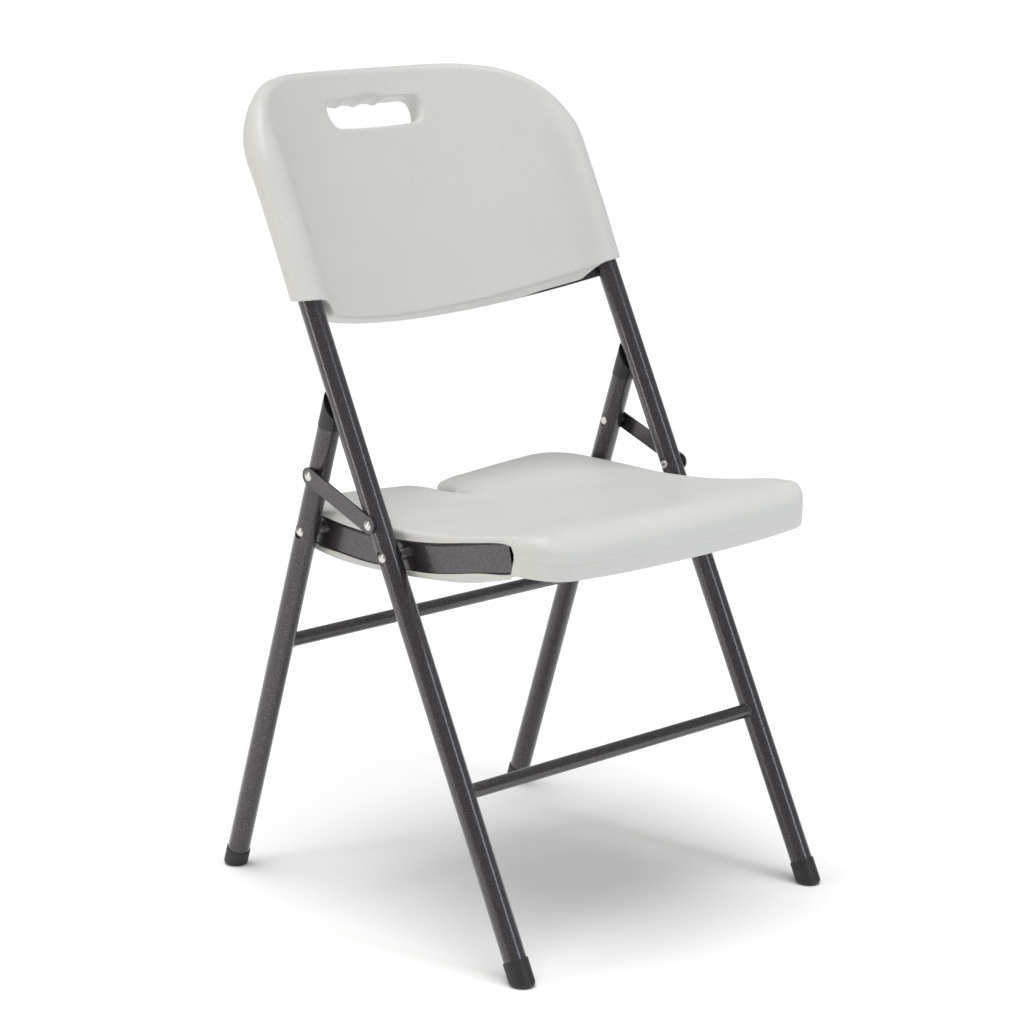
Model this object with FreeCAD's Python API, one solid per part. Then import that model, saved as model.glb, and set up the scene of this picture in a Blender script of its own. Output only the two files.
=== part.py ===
import FreeCAD, Part
import math
import os
from FreeCAD import Vector

# Folding chair: a round steel tube frame with a blow-moulded seat and back.
# Millimetres. +Z is up, the sitter faces -Y, and "left" is the sitter's left, +X.
# The front legs lean back and carry the backrest. The seat, the rear legs and two
# flat links make a four-bar linkage that folds flat with the seat's front edge up.

# ---- frame ----------------------------------------------------------------
tube_radius = 12.5
tube_wall = 1.2
leg_axis_x = 221.5
front_lean = 26.59
rear_lean = 18.67
foot_sole = 3.0
crossbar_radius = 8.0
crossbar_wall = 1.2
front_crossbar_up = 206.7
rear_crossbar_up = 301.7

# ---- linkage: places of the pivots ------------------------------------------
seat_pivot_height = 418.7
pivot_spacing = 139.6
pivot_rise = 3.7
link_pivot_up = 37.5
leg_pivot_up = 70.5

# ---- rivets, spacers and links -----------------------------------------------
rivet_radius = 3.0
rivet_head_radius = 5.5
rivet_head_height = 2.2
rivet_tail_radius = 4.7
rivet_tail_height = 1.6
rivet_tail_round = 0.8
rivet_pocket_room = 2.0
rivet_bore_radius = 1.8
running_gap = 0.05
side_gap = 0.3
outer_flat_depth = 2.0
inner_flat_depth = 1.0
flat_radius = 7.5
link_width = 19.0
link_thickness = 2.5
link_standoff = 0.6
washer_radius = 6.5
spacer_radius = 7.0

# ---- feet and caps -----------------------------------------------------------
foot_wall = 1.2
front_foot_length = 27.0
rear_foot_length = 21.0
foot_round = 4.0
fit_gap = 0.05
cap_start_drop = 41.65
cap_plug_length = 22.0
cap_tip_drop = 6.65
cap_wall = 0.3
stop_gap = 0.3

# ---- seat ---------------------------------------------------------------------
rail_height = 35.0
rail_width = 14.0
rail_wall = 1.2
rail_corner = 4.0
rail_bend_radius = 670.0
rail_drop = 2.5
rail_straight_from = 88.0
rail_front_reach = 170.0
rail_rear_reach = 22.0
rail_to_tube = 6.0
seat_overhang = 2.0
seat_wall = 2.6
seat_slab = 24.0
seat_front_corner = 42.0
seat_rear_corner = 48.0
seat_front_bow = 7.0
plan_margin = 1.0
seat_beam_width = 40.0
groove_gap = 0.5
groove_front_room = 3.0
groove_rear_room = 4.0
seat_behind_pivot = 56.9
pocket_front = 172.0
pocket_rear = 56.0
cross_tube_radius = 8.0
cross_tube_wall = 1.2
cross_tube_drop = 1.5
front_cross_tube_at = -84.0
rear_cross_tube_at = 94.0
notch_width = 32.0
notch_depth = 42.0
screw_radius = 2.0
screw_head_radius = 4.5
screw_head_height = 2.4
screw_head_round = 1.2
screw_end_room = 0.5
screw_bite = 12.0
screw_post_radius = 6.0
seat_screw_x = 110.0

# ---- backrest -------------------------------------------------------------------
roll_thickness = 7.5
roll_radius = tube_radius + roll_thickness
channel_gap = 0.4
back_recess = 62.0
back_thickness = 22.0
back_wall = 2.6
back_edge_blend = leg_axis_x - 16.5
back_edge_rise = 8.0
back_bottom = 746.0
back_top = 1044.0
back_corner_drop = 129.0
back_corner_end_x = leg_axis_x - 71.5
back_corner_end_drop = 24.0
roll_front_bottom = 765.0
handle_half_width = 66.0
handle_height = 33.0
handle_top_drop = 41.0
handle_corner = 13.0
finger_pitch = 28.5
finger_depth = 3.0
first_ridge_x = -38.0
brace_thickness = 3.0
brace_height = 20.0
brace_bottom = 743.0
brace_gap = 0.4
back_screw_lift = 3.0
back_screw_angles = (-27.0, -10.0, 10.0, 27.0)
front_leg_drop = 119.0

far = 1500.0

X_AXIS = Vector(1, 0, 0)
Y_AXIS = Vector(0, 1, 0)
Z_AXIS = Vector(0, 0, 1)
ORIGIN = Vector(0, 0, 0)


def tangent(angle):
    return math.tan(math.radians(angle))


def cosine(angle):
    return math.cos(math.radians(angle))


def sine(angle):
    return math.sin(math.radians(angle))


# ---- places worked out from the driving dimensions --------------------------------
# The front leg's axis meets the floor at y = 0 until everything is centred at the end.
seat_pivot_y = seat_pivot_height * tangent(front_lean)
seat_pivot = Vector(0, seat_pivot_y, seat_pivot_height)
leg_pivot = seat_pivot + Vector(0, pivot_spacing, pivot_rise)
rear_ground_y = leg_pivot.y + leg_pivot.z * tangent(rear_lean)
front_up = Vector(0, sine(front_lean), cosine(front_lean))
rear_up = Vector(0, -sine(rear_lean), cosine(rear_lean))
link_front_pivot = seat_pivot + front_up * link_pivot_up
link_rear_pivot = leg_pivot + rear_up * leg_pivot_up
seat_pivot_up = seat_pivot_height / cosine(front_lean)
leg_pivot_along = leg_pivot.z / cosine(rear_lean)
front_leg_top = back_top - front_leg_drop
handle_top = back_top - handle_top_drop
handle_bottom = handle_top - handle_height

# The rear leg's axis would meet the front leg's at this height; the caps end just below it.
legs_meet = rear_ground_y / (tangent(front_lean) + tangent(rear_lean))
cap_start_height = legs_meet - cap_start_drop
cap_tip_height = legs_meet - cap_tip_drop


def leg_bottom(lean):
    """How far up its axis a leg is cut square, so that its lowest edge clears the sole."""
    return (tube_radius * sine(lean) + foot_sole) / cosine(lean)


front_leg_bottom = leg_bottom(front_lean)
rear_leg_bottom = leg_bottom(rear_lean)

tube_inner_x = leg_axis_x - tube_radius
tube_outer_x = leg_axis_x + tube_radius
outer_flat_x = tube_outer_x - outer_flat_depth
inner_flat_x = tube_inner_x + inner_flat_depth
rail_outer_x = tube_inner_x - rail_to_tube
rail_inner_x = rail_outer_x - rail_width
seat_half_width = rail_outer_x + seat_overhang
link_inner_x = tube_outer_x + link_standoff
link_outer_x = link_inner_x + link_thickness


# ---- basic shapes -------------------------------------------------------------------
def rod(radius, start, length, direction):
    return Part.makeCylinder(radius, length, start, direction)


def bar_x(radius, x0, x1, at):
    """A round bar along X between two x values, through a point's y and z."""
    return rod(radius, Vector(min(x0, x1), at.y, at.z), abs(x1 - x0), X_AXIS)


def box_between(low, high):
    size = high - low
    return Part.makeBox(size.x, size.y, size.z, low)


def mirrored(shape):
    return shape.mirror(ORIGIN, X_AXIS)


def place_front(shape):
    """Lean a shape that was drawn upright with the front legs."""
    leaned = shape.copy()
    leaned.rotate(ORIGIN, X_AXIS, -front_lean)
    return leaned


def place_rear(shape):
    """Lean a shape that was drawn upright with the rear legs."""
    leaned = shape.copy()
    leaned.rotate(ORIGIN, X_AXIS, rear_lean)
    leaned.translate(Vector(0, rear_ground_y, 0))
    return leaned


def arc_chain(points):
    """Arcs end to end, each through three of the points."""
    starts = range(0, len(points) - 2, 2)
    return [Part.Arc(points[i], points[i + 1], points[i + 2]).toShape() for i in starts]


def moved_in(points, inset):
    """The points of a closed outline in the YZ plane, each moved square to it, inwards."""
    moved = []
    for i, point in enumerate(points):
        way = (points[(i + 1) % len(points)] - points[i - 1]).normalize()
        moved.append(point + Vector(0, -way.z, way.y) * inset)
    return moved


def closed_face(points):
    return Part.Face(Part.makePolygon(points + [points[0]]))


floor_cut = box_between(Vector(-far, -far, -far), Vector(far, far, 0))


# ---- tubes -----------------------------------------------------------------------------
def leg_tube(bottom, top, pivots, inner_flats):
    """An upright leg tube at +X, pressed flat around each pivot hole."""
    outer = rod(tube_radius, Vector(leg_axis_x, 0, bottom), top - bottom, Z_AXIS)
    tube = outer.cut(rod(tube_radius - tube_wall, Vector(leg_axis_x, 0, bottom), top - bottom, Z_AXIS))
    for height in pivots:
        at = Vector(0, 0, height)
        wall = bar_x(flat_radius, outer_flat_x - tube_wall, outer_flat_x, at).common(outer)
        tube = tube.fuse(wall).cut(bar_x(flat_radius, outer_flat_x, tube_outer_x + 1, at))
        if height in inner_flats:
            wall = bar_x(flat_radius, inner_flat_x, inner_flat_x + tube_wall, at).common(outer)
            tube = tube.fuse(wall).cut(bar_x(flat_radius, tube_inner_x - 1, inner_flat_x, at))
        tube = tube.cut(bar_x(rivet_radius + running_gap, tube_inner_x - 1, tube_outer_x + 1, at))
    return tube


def crossbar(height):
    """An upright frame's crossbar, coped to the two leg tubes that it is welded to."""
    at = Vector(0, 0, height)
    bar = bar_x(crossbar_radius, -leg_axis_x, leg_axis_x, at)
    bar = bar.cut(bar_x(crossbar_radius - crossbar_wall, -leg_axis_x, leg_axis_x, at))
    for side in (-1, 1):
        leg = rod(tube_radius, Vector(side * leg_axis_x, 0, height - 40), 80, Z_AXIS)
        bar = bar.cut(leg)
    return bar


# ---- rivets, spacers, washers and links ----------------------------------------------------
def rivet_head(x, at):
    """A domed head whose flat underside is at x and whose dome points to +X."""
    ball = (rivet_head_radius ** 2 + rivet_head_height ** 2) / (2 * rivet_head_height)
    dome = Part.makeSphere(ball, Vector(x + rivet_head_height - ball, at.y, at.z))
    return dome.common(bar_x(rivet_head_radius, x, x + rivet_head_height + 1, at))


def rivet_tail(x, at):
    """A rolled tail that clinches against x from the -X side."""
    ring = bar_x(rivet_tail_radius, x - rivet_tail_height, x, at)
    edges = [edge for edge in ring.Edges if edge.Curve.TypeId == "Part::GeomCircle"]
    inner_edges = [edge for edge in edges if abs(edge.CenterOfMass.x - (x - rivet_tail_height)) < 0.01]
    return ring.makeFillet(rivet_tail_round, inner_edges)


def rivet(head_x, tail_x, at):
    body = bar_x(rivet_radius, tail_x, head_x, at)
    body = body.fuse([rivet_head(head_x, at), rivet_tail(tail_x, at)])
    hollow = bar_x(rivet_bore_radius, tail_x - rivet_tail_height - 1, tail_x + 3, at)
    return body.cut(hollow).removeSplitter()


def ring_x(outer_radius, x0, x1, at):
    return bar_x(outer_radius, x0, x1, at).cut(bar_x(rivet_radius + running_gap, x0 - 1, x1 + 1, at))


def link_plate():
    start = link_front_pivot
    end = link_rear_pivot
    length = (end - start).Length
    along = (end - start).normalize()
    across = X_AXIS.cross(along).normalize()
    half = across * (link_width / 2)
    middle = [start + half, end + half, end - half, start - half]
    slab = closed_face(middle).extrude(X_AXIS * link_thickness)
    slab.translate(X_AXIS * link_inner_x)
    ends = [bar_x(link_width / 2, link_inner_x, link_outer_x, at) for at in (start, end)]
    plate = slab.fuse(ends).removeSplitter()
    for at in (start, end):
        plate = plate.cut(bar_x(rivet_radius + running_gap, link_inner_x - 1, link_outer_x + 1, at))
    return plate


# ---- feet and caps -----------------------------------------------------------------------
def foot(length, bottom, place):
    """A moulded tip over the leg's end, cut level with the floor."""
    outer = rod(tube_radius + foot_wall, Vector(leg_axis_x, 0, -30), length + 30, Z_AXIS)
    top_edge = [edge for edge in outer.Edges if abs(edge.BoundBox.ZMin - length) < 0.01]
    outer = outer.makeFillet(foot_wall * 0.6, top_edge)
    socket = rod(tube_radius + fit_gap, Vector(leg_axis_x, 0, bottom), length, Z_AXIS)
    level = place(outer).cut(floor_cut)
    sole = [edge for edge in level.Edges if edge.BoundBox.ZMax < 0.01]
    level = level.makeFillet(foot_round, sole)
    return level.cut(place(socket))


def leg_cap():
    """The wedge that plugs the top of a rear leg and stops against the front leg."""
    start = cap_start_height / cosine(rear_lean)
    tip = cap_tip_height / cosine(rear_lean)
    outside = rod(tube_radius + cap_wall, Vector(leg_axis_x, 0, start), tip - start, Z_AXIS)
    plug = rod(tube_radius - tube_wall - fit_gap, Vector(leg_axis_x, 0, start - cap_plug_length),
               cap_plug_length, Z_AXIS)
    cap = place_rear(outside.fuse(plug).removeSplitter())
    front_face = -(tube_radius + stop_gap)
    keep_out = box_between(Vector(0, -200, 0), Vector(400, -front_face, 1200))
    return cap.cut(place_front(keep_out))


def rear_leg_tube():
    top = cap_start_height / cosine(rear_lean)
    pivots = (leg_pivot_along, leg_pivot_along + leg_pivot_up)
    return place_rear(leg_tube(rear_leg_bottom, top, pivots, pivots))


# ---- seat rails --------------------------------------------------------------------------
def rail_centre():
    """Centre of the rail's bend, from its radius and the two points it passes under the pivots."""
    first = seat_pivot - Vector(0, 0, rail_drop)
    second = leg_pivot - Vector(0, 0, rail_drop)
    chord = second - first
    middle = (first + second) * 0.5
    rise = math.sqrt(rail_bend_radius ** 2 - (chord.Length / 2) ** 2)
    return middle + X_AXIS.cross(chord).normalize() * rise


bend_centre = rail_centre()
straight_angle = math.asin((bend_centre.y - (seat_pivot.y - rail_straight_from)) / rail_bend_radius)
rear_angle = math.asin((leg_pivot.y + rail_rear_reach - bend_centre.y) / rail_bend_radius)


def rail_side(half_height, front_reach, rear_extra):
    """Side outline of the rail: a bend, with a straight run towards the front."""
    def on_bend(radius, angle):
        return bend_centre + Vector(0, math.sin(angle), -math.cos(angle)) * radius

    forward = Vector(0, -math.cos(straight_angle), math.sin(straight_angle))
    run = (front_reach - rail_straight_from) / math.cos(straight_angle)
    low = rail_bend_radius + half_height
    high = rail_bend_radius - half_height
    rear = rear_angle + rear_extra / rail_bend_radius
    bend_low = Part.Arc(on_bend(low, -straight_angle), on_bend(low, 0), on_bend(low, rear))
    bend_high = Part.Arc(on_bend(high, rear), on_bend(high, 0), on_bend(high, -straight_angle))
    front_low = on_bend(low, -straight_angle) + forward * run
    front_high = on_bend(high, -straight_angle) + forward * run
    edges = [
        Part.makeLine(front_low, on_bend(low, -straight_angle)),
        bend_low.toShape(),
        Part.makeLine(on_bend(low, rear), on_bend(high, rear)),
        bend_high.toShape(),
        Part.makeLine(on_bend(high, -straight_angle), front_high),
        Part.makeLine(front_high, front_low),
    ]
    return Part.Face(Part.Wire(edges))


def rail_block(half_height, x0, x1, front_reach, rear_extra):
    block = rail_side(half_height, front_reach, rear_extra).extrude(X_AXIS * (x1 - x0))
    block.translate(X_AXIS * x0)
    return block


def long_edges(shape):
    """Edges that run along the rail at its four corners."""
    def runs_along(edge):
        box = edge.BoundBox
        return box.XLength < 0.01 and box.YLength > rail_height * 0.8
    return [edge for edge in shape.Edges if runs_along(edge)]


def seat_rail():
    outside = rail_block(rail_height / 2, rail_inner_x, rail_outer_x, rail_front_reach, 0)
    outside = outside.makeFillet(rail_corner, long_edges(outside))
    inside = rail_block(rail_height / 2 - rail_wall, rail_inner_x + rail_wall, rail_outer_x - rail_wall,
                        rail_front_reach + 5, 5)
    inside = inside.makeFillet(rail_corner - rail_wall, long_edges(inside))
    rail = outside.cut(inside)
    for at in (seat_pivot, leg_pivot):
        rail = rail.cut(bar_x(rivet_radius + running_gap, rail_inner_x - 1, rail_outer_x + 1, at))
    return rail


# ---- seat ----------------------------------------------------------------------------------
# Side view of the seat: how far behind the front pivot, and how far above or below it once the
# rail's half height is added. Every second point starts an arc that ends at the next second point.
seat_top_line = [(190, 1), (172, 3), (130, 4), (60, 5.3), (-10, 8), (-70, 13.5), (-125, 22.5),
                 (-165, 31.5), (-200, 36)]
seat_nose_top = [(-224, 27.5)]
seat_nose_tip = (-233, 28)
seat_under_line = [(-229, 30.5), (-214, 22.5), (-187, 24.5), (-150, 16.5), (-115, 7.5), (-79, 0.5), (-30, -6.5),
                   (20, -11), (90, -13), (134, -7.5), (160, -1), (182, 7.5)]
seat_rear_tip = (196.5, 5)


def side_point(pair, lift=0.0):
    """A point of the seat's side view. The seat is as long behind the front pivot as the linkage needs."""
    stretch = (pivot_spacing + seat_behind_pivot) / seat_rear_tip[0]
    y = pair[0] * (stretch if pair[0] > 0 else 1)
    return seat_pivot + Vector(0, y, pair[1] + lift)


seat_top = [side_point(pair, rail_height / 2) for pair in seat_top_line]
seat_nose = [side_point(pair, rail_height / 2) for pair in seat_nose_top] + [side_point(seat_nose_tip)]
seat_under = [side_point(pair, -rail_height / 2) for pair in seat_under_line]
seat_outline = seat_top + seat_nose + seat_under + [side_point(seat_rear_tip)]


def seat_side_face(inset):
    points = moved_in(seat_outline, inset)
    return Part.Face(Part.Wire(arc_chain(points + [points[0]])))


seat_box = seat_side_face(0).optimalBoundingBox()
seat_front_y = seat_box.YMin
seat_rear_y = seat_box.YMax


def seat_plan(inset):
    """The seat seen from above: round corners and a gently bowed front."""
    half = seat_half_width - inset
    front = seat_front_y - plan_margin + inset
    rear = seat_rear_y + plan_margin - inset
    front_corner = seat_front_corner - inset
    rear_corner = seat_rear_corner - inset
    low = seat_box.ZMin - 10
    shoulder = front + seat_front_bow

    def at(x, y):
        return Vector(x, y, low)

    def corner(x, y, radius, sx, sy):
        """A quarter round whose sharp corner would be at x, y."""
        centre_x = x - sx * radius
        centre_y = y - sy * radius
        mid = radius * math.sqrt(0.5)
        return at(centre_x + sx * mid, centre_y + sy * mid)

    edges = [
        Part.Arc(at(-half + front_corner, shoulder), at(0, front), at(half - front_corner, shoulder)).toShape(),
        Part.Arc(at(half - front_corner, shoulder), corner(half, shoulder, front_corner, 1, -1),
                 at(half, shoulder + front_corner)).toShape(),
        Part.makeLine(at(half, shoulder + front_corner), at(half, rear - rear_corner)),
        Part.Arc(at(half, rear - rear_corner), corner(half, rear, rear_corner, 1, 1),
                 at(half - rear_corner, rear)).toShape(),
        Part.makeLine(at(half - rear_corner, rear), at(-half + rear_corner, rear)),
        Part.Arc(at(-half + rear_corner, rear), corner(-half, rear, rear_corner, -1, 1),
                 at(-half, rear - rear_corner)).toShape(),
        Part.makeLine(at(-half, rear - rear_corner), at(-half, shoulder + front_corner)),
        Part.Arc(at(-half, shoulder + front_corner), corner(-half, shoulder, front_corner, -1, -1),
                 at(-half + front_corner, shoulder)).toShape(),
    ]
    return Part.Face(Part.Wire(edges)).extrude(Z_AXIS * (seat_box.ZLength + 20))


def seat_pocket(grow):
    """The recess under the seat, bounded above by the seat's slab."""
    drop = seat_slab - grow
    rear_y = seat_rear_y - pocket_rear + grow
    front_y = seat_pivot.y - pocket_front - grow
    half = seat_half_width - seat_beam_width + grow
    ceiling = [point + Vector(-half, 0, -drop) for point in seat_top]
    floor_z = seat_box.ZMin - 20
    corners = [ceiling[-1], Vector(-half, ceiling[-1].y, floor_z), Vector(-half, ceiling[0].y, floor_z), ceiling[0]]
    lines = [Part.makeLine(corners[i], corners[i + 1]) for i in range(3)]
    under = Part.Face(Part.Wire(arc_chain(ceiling) + lines)).extrude(X_AXIS * (2 * half))
    limits = box_between(Vector(-half, front_y, floor_z - 1), Vector(half, rear_y, seat_box.ZMax))
    return under.common(limits)


def seat_notch(grow):
    radius = notch_width / 2 + grow
    centre_y = seat_rear_y - notch_depth + notch_width / 2
    low = seat_box.ZMin - 10
    height = seat_box.ZLength + 20
    round_end = rod(radius, Vector(0, centre_y, low), height, Z_AXIS)
    mouth = box_between(Vector(-radius, centre_y, low), Vector(radius, seat_rear_y + 10, low + height))
    return round_end.fuse(mouth)


def side_grooves(grow):
    """The slots in both sides of the seat that hold the rails, and their rivet pockets."""
    half_height = rail_height / 2 + groove_gap + grow
    inner = rail_inner_x - groove_gap - grow
    groove = rail_block(half_height, inner, seat_half_width + 10,
                        rail_front_reach + groove_front_room + grow, groove_rear_room + grow)
    pockets = [bar_x(rivet_tail_radius + rivet_pocket_room + grow,
                     inner - rivet_tail_height - rivet_pocket_room, inner + 1, at)
               for at in (seat_pivot, leg_pivot)]
    slot = groove.fuse(pockets)
    return slot.fuse(mirrored(slot))


def cross_tube_point(along):
    """Where a cross tube lies: just under the slab."""
    at = seat_pivot + Vector(0, along, 0)
    cut = Part.makeLine(at - Z_AXIS * seat_slab, at + Z_AXIS * far)
    hit = Part.Wire(arc_chain(seat_top)).distToShape(cut)[1][0][0]
    return Vector(0, hit.y, hit.z - seat_slab - cross_tube_radius - cross_tube_drop)


front_cross_point = cross_tube_point(front_cross_tube_at)
rear_cross_point = cross_tube_point(rear_cross_tube_at)


def seat_screw_places():
    return [Vector(side * seat_screw_x, at.y, at.z)
            for at in (front_cross_point, rear_cross_point) for side in (-1, 1)]


def cross_tube(at):
    tube = bar_x(cross_tube_radius, -rail_inner_x, rail_inner_x, at)
    tube = tube.cut(bar_x(cross_tube_radius - cross_tube_wall, -rail_inner_x, rail_inner_x, at))
    for side in (-1, 1):
        hole = rod(screw_radius + fit_gap, Vector(side * seat_screw_x, at.y, at.z - 20), 40, Z_AXIS)
        tube = tube.cut(hole)
    return tube


def seat_screws():
    screws = []
    for at in seat_screw_places():
        under = at.z - cross_tube_radius
        head = rod(screw_head_radius, Vector(at.x, at.y, under - screw_head_height), screw_head_height, Z_AXIS)
        low_edge = [edge for edge in head.Edges if abs(edge.BoundBox.ZMax - (under - screw_head_height)) < 0.01]
        head = head.makeFillet(screw_head_round, low_edge)
        length = 2 * cross_tube_radius + cross_tube_drop + screw_bite
        shank = rod(screw_radius, Vector(at.x, at.y, under), length, Z_AXIS)
        screws.append(head.fuse(shank).removeSplitter())
    return Part.makeCompound(screws)


def seat_shape():
    width = 2 * seat_half_width
    outside = seat_side_face(0).extrude(X_AXIS * width)
    outside.translate(X_AXIS * -seat_half_width)
    outside = outside.common(seat_plan(0))
    outside = outside.cut([seat_pocket(0), seat_notch(0), side_grooves(0)])

    hollow = seat_side_face(seat_wall).extrude(X_AXIS * width)
    hollow.translate(X_AXIS * -seat_half_width)
    hollow = hollow.common(seat_plan(seat_wall))
    hollow = hollow.cut([seat_pocket(seat_wall), seat_notch(seat_wall), side_grooves(seat_wall)])
    sleeves = [bar_x(cross_tube_radius + groove_gap + seat_wall, -seat_half_width, seat_half_width, at)
               for at in (front_cross_point, rear_cross_point)]
    posts = [rod(screw_post_radius, Vector(at.x, at.y, at.z), 60, Z_AXIS) for at in seat_screw_places()]
    hollow = hollow.cut(sleeves + posts)

    shell = outside.cut(hollow)
    for at in (front_cross_point, rear_cross_point):
        shell = shell.cut(bar_x(cross_tube_radius + groove_gap, -rail_inner_x, rail_inner_x, at))
    for at in seat_screw_places():
        depth = cross_tube_radius + cross_tube_drop + screw_bite + screw_end_room
        shell = shell.cut(rod(screw_radius + fit_gap, at, depth, Z_AXIS))
    return shell


# ---- backrest ---------------------------------------------------------------------------------
# Drawn upright in the front legs' frame: y is then the distance behind the plane of the legs.
back_sag = back_recess + back_edge_rise
back_radius = (back_edge_blend ** 2 + back_sag ** 2) / (2 * back_sag)
back_centre_y = back_recess - back_radius


def back_cylinder(radius, bottom, top):
    return rod(radius, Vector(0, back_centre_y, bottom), top - bottom, Z_AXIS)


def back_outline(inset, bottom):
    """Front view of the back: straight sides, round shoulders and a crowned top."""
    half = leg_axis_x + roll_radius - inset
    top = back_top - inset
    end_x = back_corner_end_x
    end_z = top - back_corner_end_drop
    side_z = back_top - back_corner_drop
    reach = half - end_x
    radius = (reach ** 2 + (end_z - side_z) ** 2) / (2 * reach)
    centre = Vector(half - radius, 0, side_z)
    turn = math.asin((end_z - side_z) / radius) / 2
    depth = back_recess + back_thickness + 60

    def at(x, z):
        return Vector(x, -60, z)

    def shoulder(sign):
        return at(sign * (centre.x + radius * math.cos(turn)), side_z + radius * math.sin(turn))

    edges = [
        Part.makeLine(at(-half, bottom), at(half, bottom)),
        Part.makeLine(at(half, bottom), at(half, side_z)),
        Part.Arc(at(half, side_z), shoulder(1), at(end_x, end_z)).toShape(),
        Part.Arc(at(end_x, end_z), at(0, top), at(-end_x, end_z)).toShape(),
        Part.Arc(at(-end_x, end_z), shoulder(-1), at(-half, side_z)).toShape(),
        Part.makeLine(at(-half, side_z), at(-half, bottom)),
    ]
    return Part.Face(Part.Wire(edges)).extrude(Y_AXIS * (depth + 60))


def handle_slot(grow):
    """The hand hole, with finger ridges along its upper edge."""
    half = handle_half_width + grow
    low = handle_bottom - grow
    high = handle_top + grow
    slot = box_between(Vector(-half, 0, low), Vector(half, back_recess + back_thickness + 40, high))
    corners = [edge for edge in slot.Edges if edge.BoundBox.YLength > 20]
    slot = slot.makeFillet(handle_corner + grow, corners)
    if grow:
        return slot
    for index in range(3):
        ridge = rod(finger_depth, Vector(first_ridge_x + index * finger_pitch, 0, high), 200, Y_AXIS)
        slot = slot.cut(ridge)
    return slot


def leg_rolls(radius, bottom, top):
    rolls = [rod(radius, Vector(side * leg_axis_x, 0, bottom), top - bottom, Z_AXIS) for side in (-1, 1)]
    return rolls[0].fuse(rolls[1])


def back_screw_axis(angle, bottom):
    """A screw's radial direction through the brace, and the point on the back's rear face."""
    direction = Vector(sine(angle), cosine(angle), 0)
    face = Vector(0, back_centre_y, bottom) + direction * (back_radius + back_thickness)
    return direction, face


brace_middle = brace_bottom + brace_height / 2 + back_screw_lift
brace_inner_radius = back_radius + back_thickness + brace_gap


def back_brace():
    outer = back_cylinder(brace_inner_radius + brace_thickness, brace_bottom, brace_bottom + brace_height)
    ring = outer.cut(back_cylinder(brace_inner_radius, brace_bottom, brace_bottom + brace_height))
    limits = box_between(Vector(-leg_axis_x, 0, 0), Vector(leg_axis_x, far, far))
    brace = ring.common(limits).cut(leg_rolls(tube_radius, 0, far))
    for angle in back_screw_angles:
        direction, face = back_screw_axis(angle, brace_middle)
        brace = brace.cut(rod(screw_radius + fit_gap, face - direction * 5, 20, direction))
    return brace


def back_screws():
    screws = []
    for angle in back_screw_angles:
        direction, face = back_screw_axis(angle, brace_middle)
        seat_face = face + direction * (brace_gap + brace_thickness)
        head = rod(screw_head_radius, seat_face, screw_head_height, direction)
        shank = rod(screw_radius, face - direction * screw_bite, screw_bite + brace_gap + brace_thickness, direction)
        screws.append(head.fuse(shank).removeSplitter())
    return Part.makeCompound(screws)


def backrest_shape():
    def panel(inset, bottom):
        outer = back_cylinder(back_radius + back_thickness - inset, bottom, back_top + 10)
        band = outer.cut(back_cylinder(back_radius + inset, bottom, back_top + 10))
        return band.common(box_between(Vector(-leg_axis_x, -20, bottom), Vector(leg_axis_x, far, back_top + 10)))

    outside = panel(0, back_bottom).fuse(leg_rolls(roll_radius, back_bottom, back_top))
    outside = outside.common(back_outline(0, back_bottom)).removeSplitter()
    hollow = panel(back_wall, back_bottom).common(back_outline(back_wall, back_bottom + back_wall))
    hollow = hollow.cut([leg_rolls(roll_radius - back_wall, 0, far), handle_slot(back_wall)])
    posts = []
    for angle in back_screw_angles:
        direction, face = back_screw_axis(angle, brace_middle)
        posts.append(rod(screw_post_radius, face - direction * (back_thickness + 5), back_thickness + 10, direction))
    shell = outside.cut(hollow.cut(posts))

    channel = leg_rolls(tube_radius + channel_gap, back_bottom - 5, front_leg_top + 2)
    shell = shell.cut([channel, handle_slot(0)])
    front_trim = box_between(Vector(leg_axis_x - roll_radius - 1, -60, back_bottom - 5),
                             Vector(leg_axis_x + roll_radius + 1, 0, roll_front_bottom))
    shell = shell.cut([front_trim, mirrored(front_trim)])

    brace_room = back_cylinder(brace_inner_radius + brace_thickness + 60, back_bottom - 5,
                               brace_bottom + brace_height + groove_gap)
    brace_room = brace_room.cut(back_cylinder(brace_inner_radius - brace_gap / 2, back_bottom - 10, back_top))
    shell = shell.cut(brace_room.common(box_between(Vector(-far, 0, 0), Vector(far, far, far))))
    for angle in back_screw_angles:
        direction, face = back_screw_axis(angle, brace_middle)
        shell = shell.cut(rod(screw_radius + fit_gap, face - direction * (screw_bite + screw_end_room), 40, direction))
    return shell


# ---- assembly -------------------------------------------------------------------------------------
nodes = {}


def add_pair(name, shape):
    nodes[name + "_left"] = shape
    nodes[name + "_right"] = mirrored(shape)


front_pivots = (seat_pivot_up, seat_pivot_up + link_pivot_up)
add_pair("front_leg", place_front(leg_tube(front_leg_bottom, front_leg_top, front_pivots, front_pivots)))
add_pair("rear_leg", rear_leg_tube())
nodes["front_crossbar"] = place_front(crossbar(front_crossbar_up))
nodes["rear_crossbar"] = place_rear(crossbar(rear_crossbar_up))
add_pair("front_foot", foot(front_foot_length, front_leg_bottom, place_front))
add_pair("rear_foot", foot(rear_foot_length, rear_leg_bottom, place_rear))
add_pair("rear_leg_cap", leg_cap())

nodes["seat"] = seat_shape()
add_pair("seat_rail", seat_rail())
nodes["seat_front_cross_tube"] = cross_tube(front_cross_point)
nodes["seat_rear_cross_tube"] = cross_tube(rear_cross_point)
nodes["seat_screws"] = seat_screws()

nodes["backrest"] = place_front(backrest_shape())
nodes["back_brace"] = place_front(back_brace())
nodes["back_screws"] = place_front(back_screws())

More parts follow.
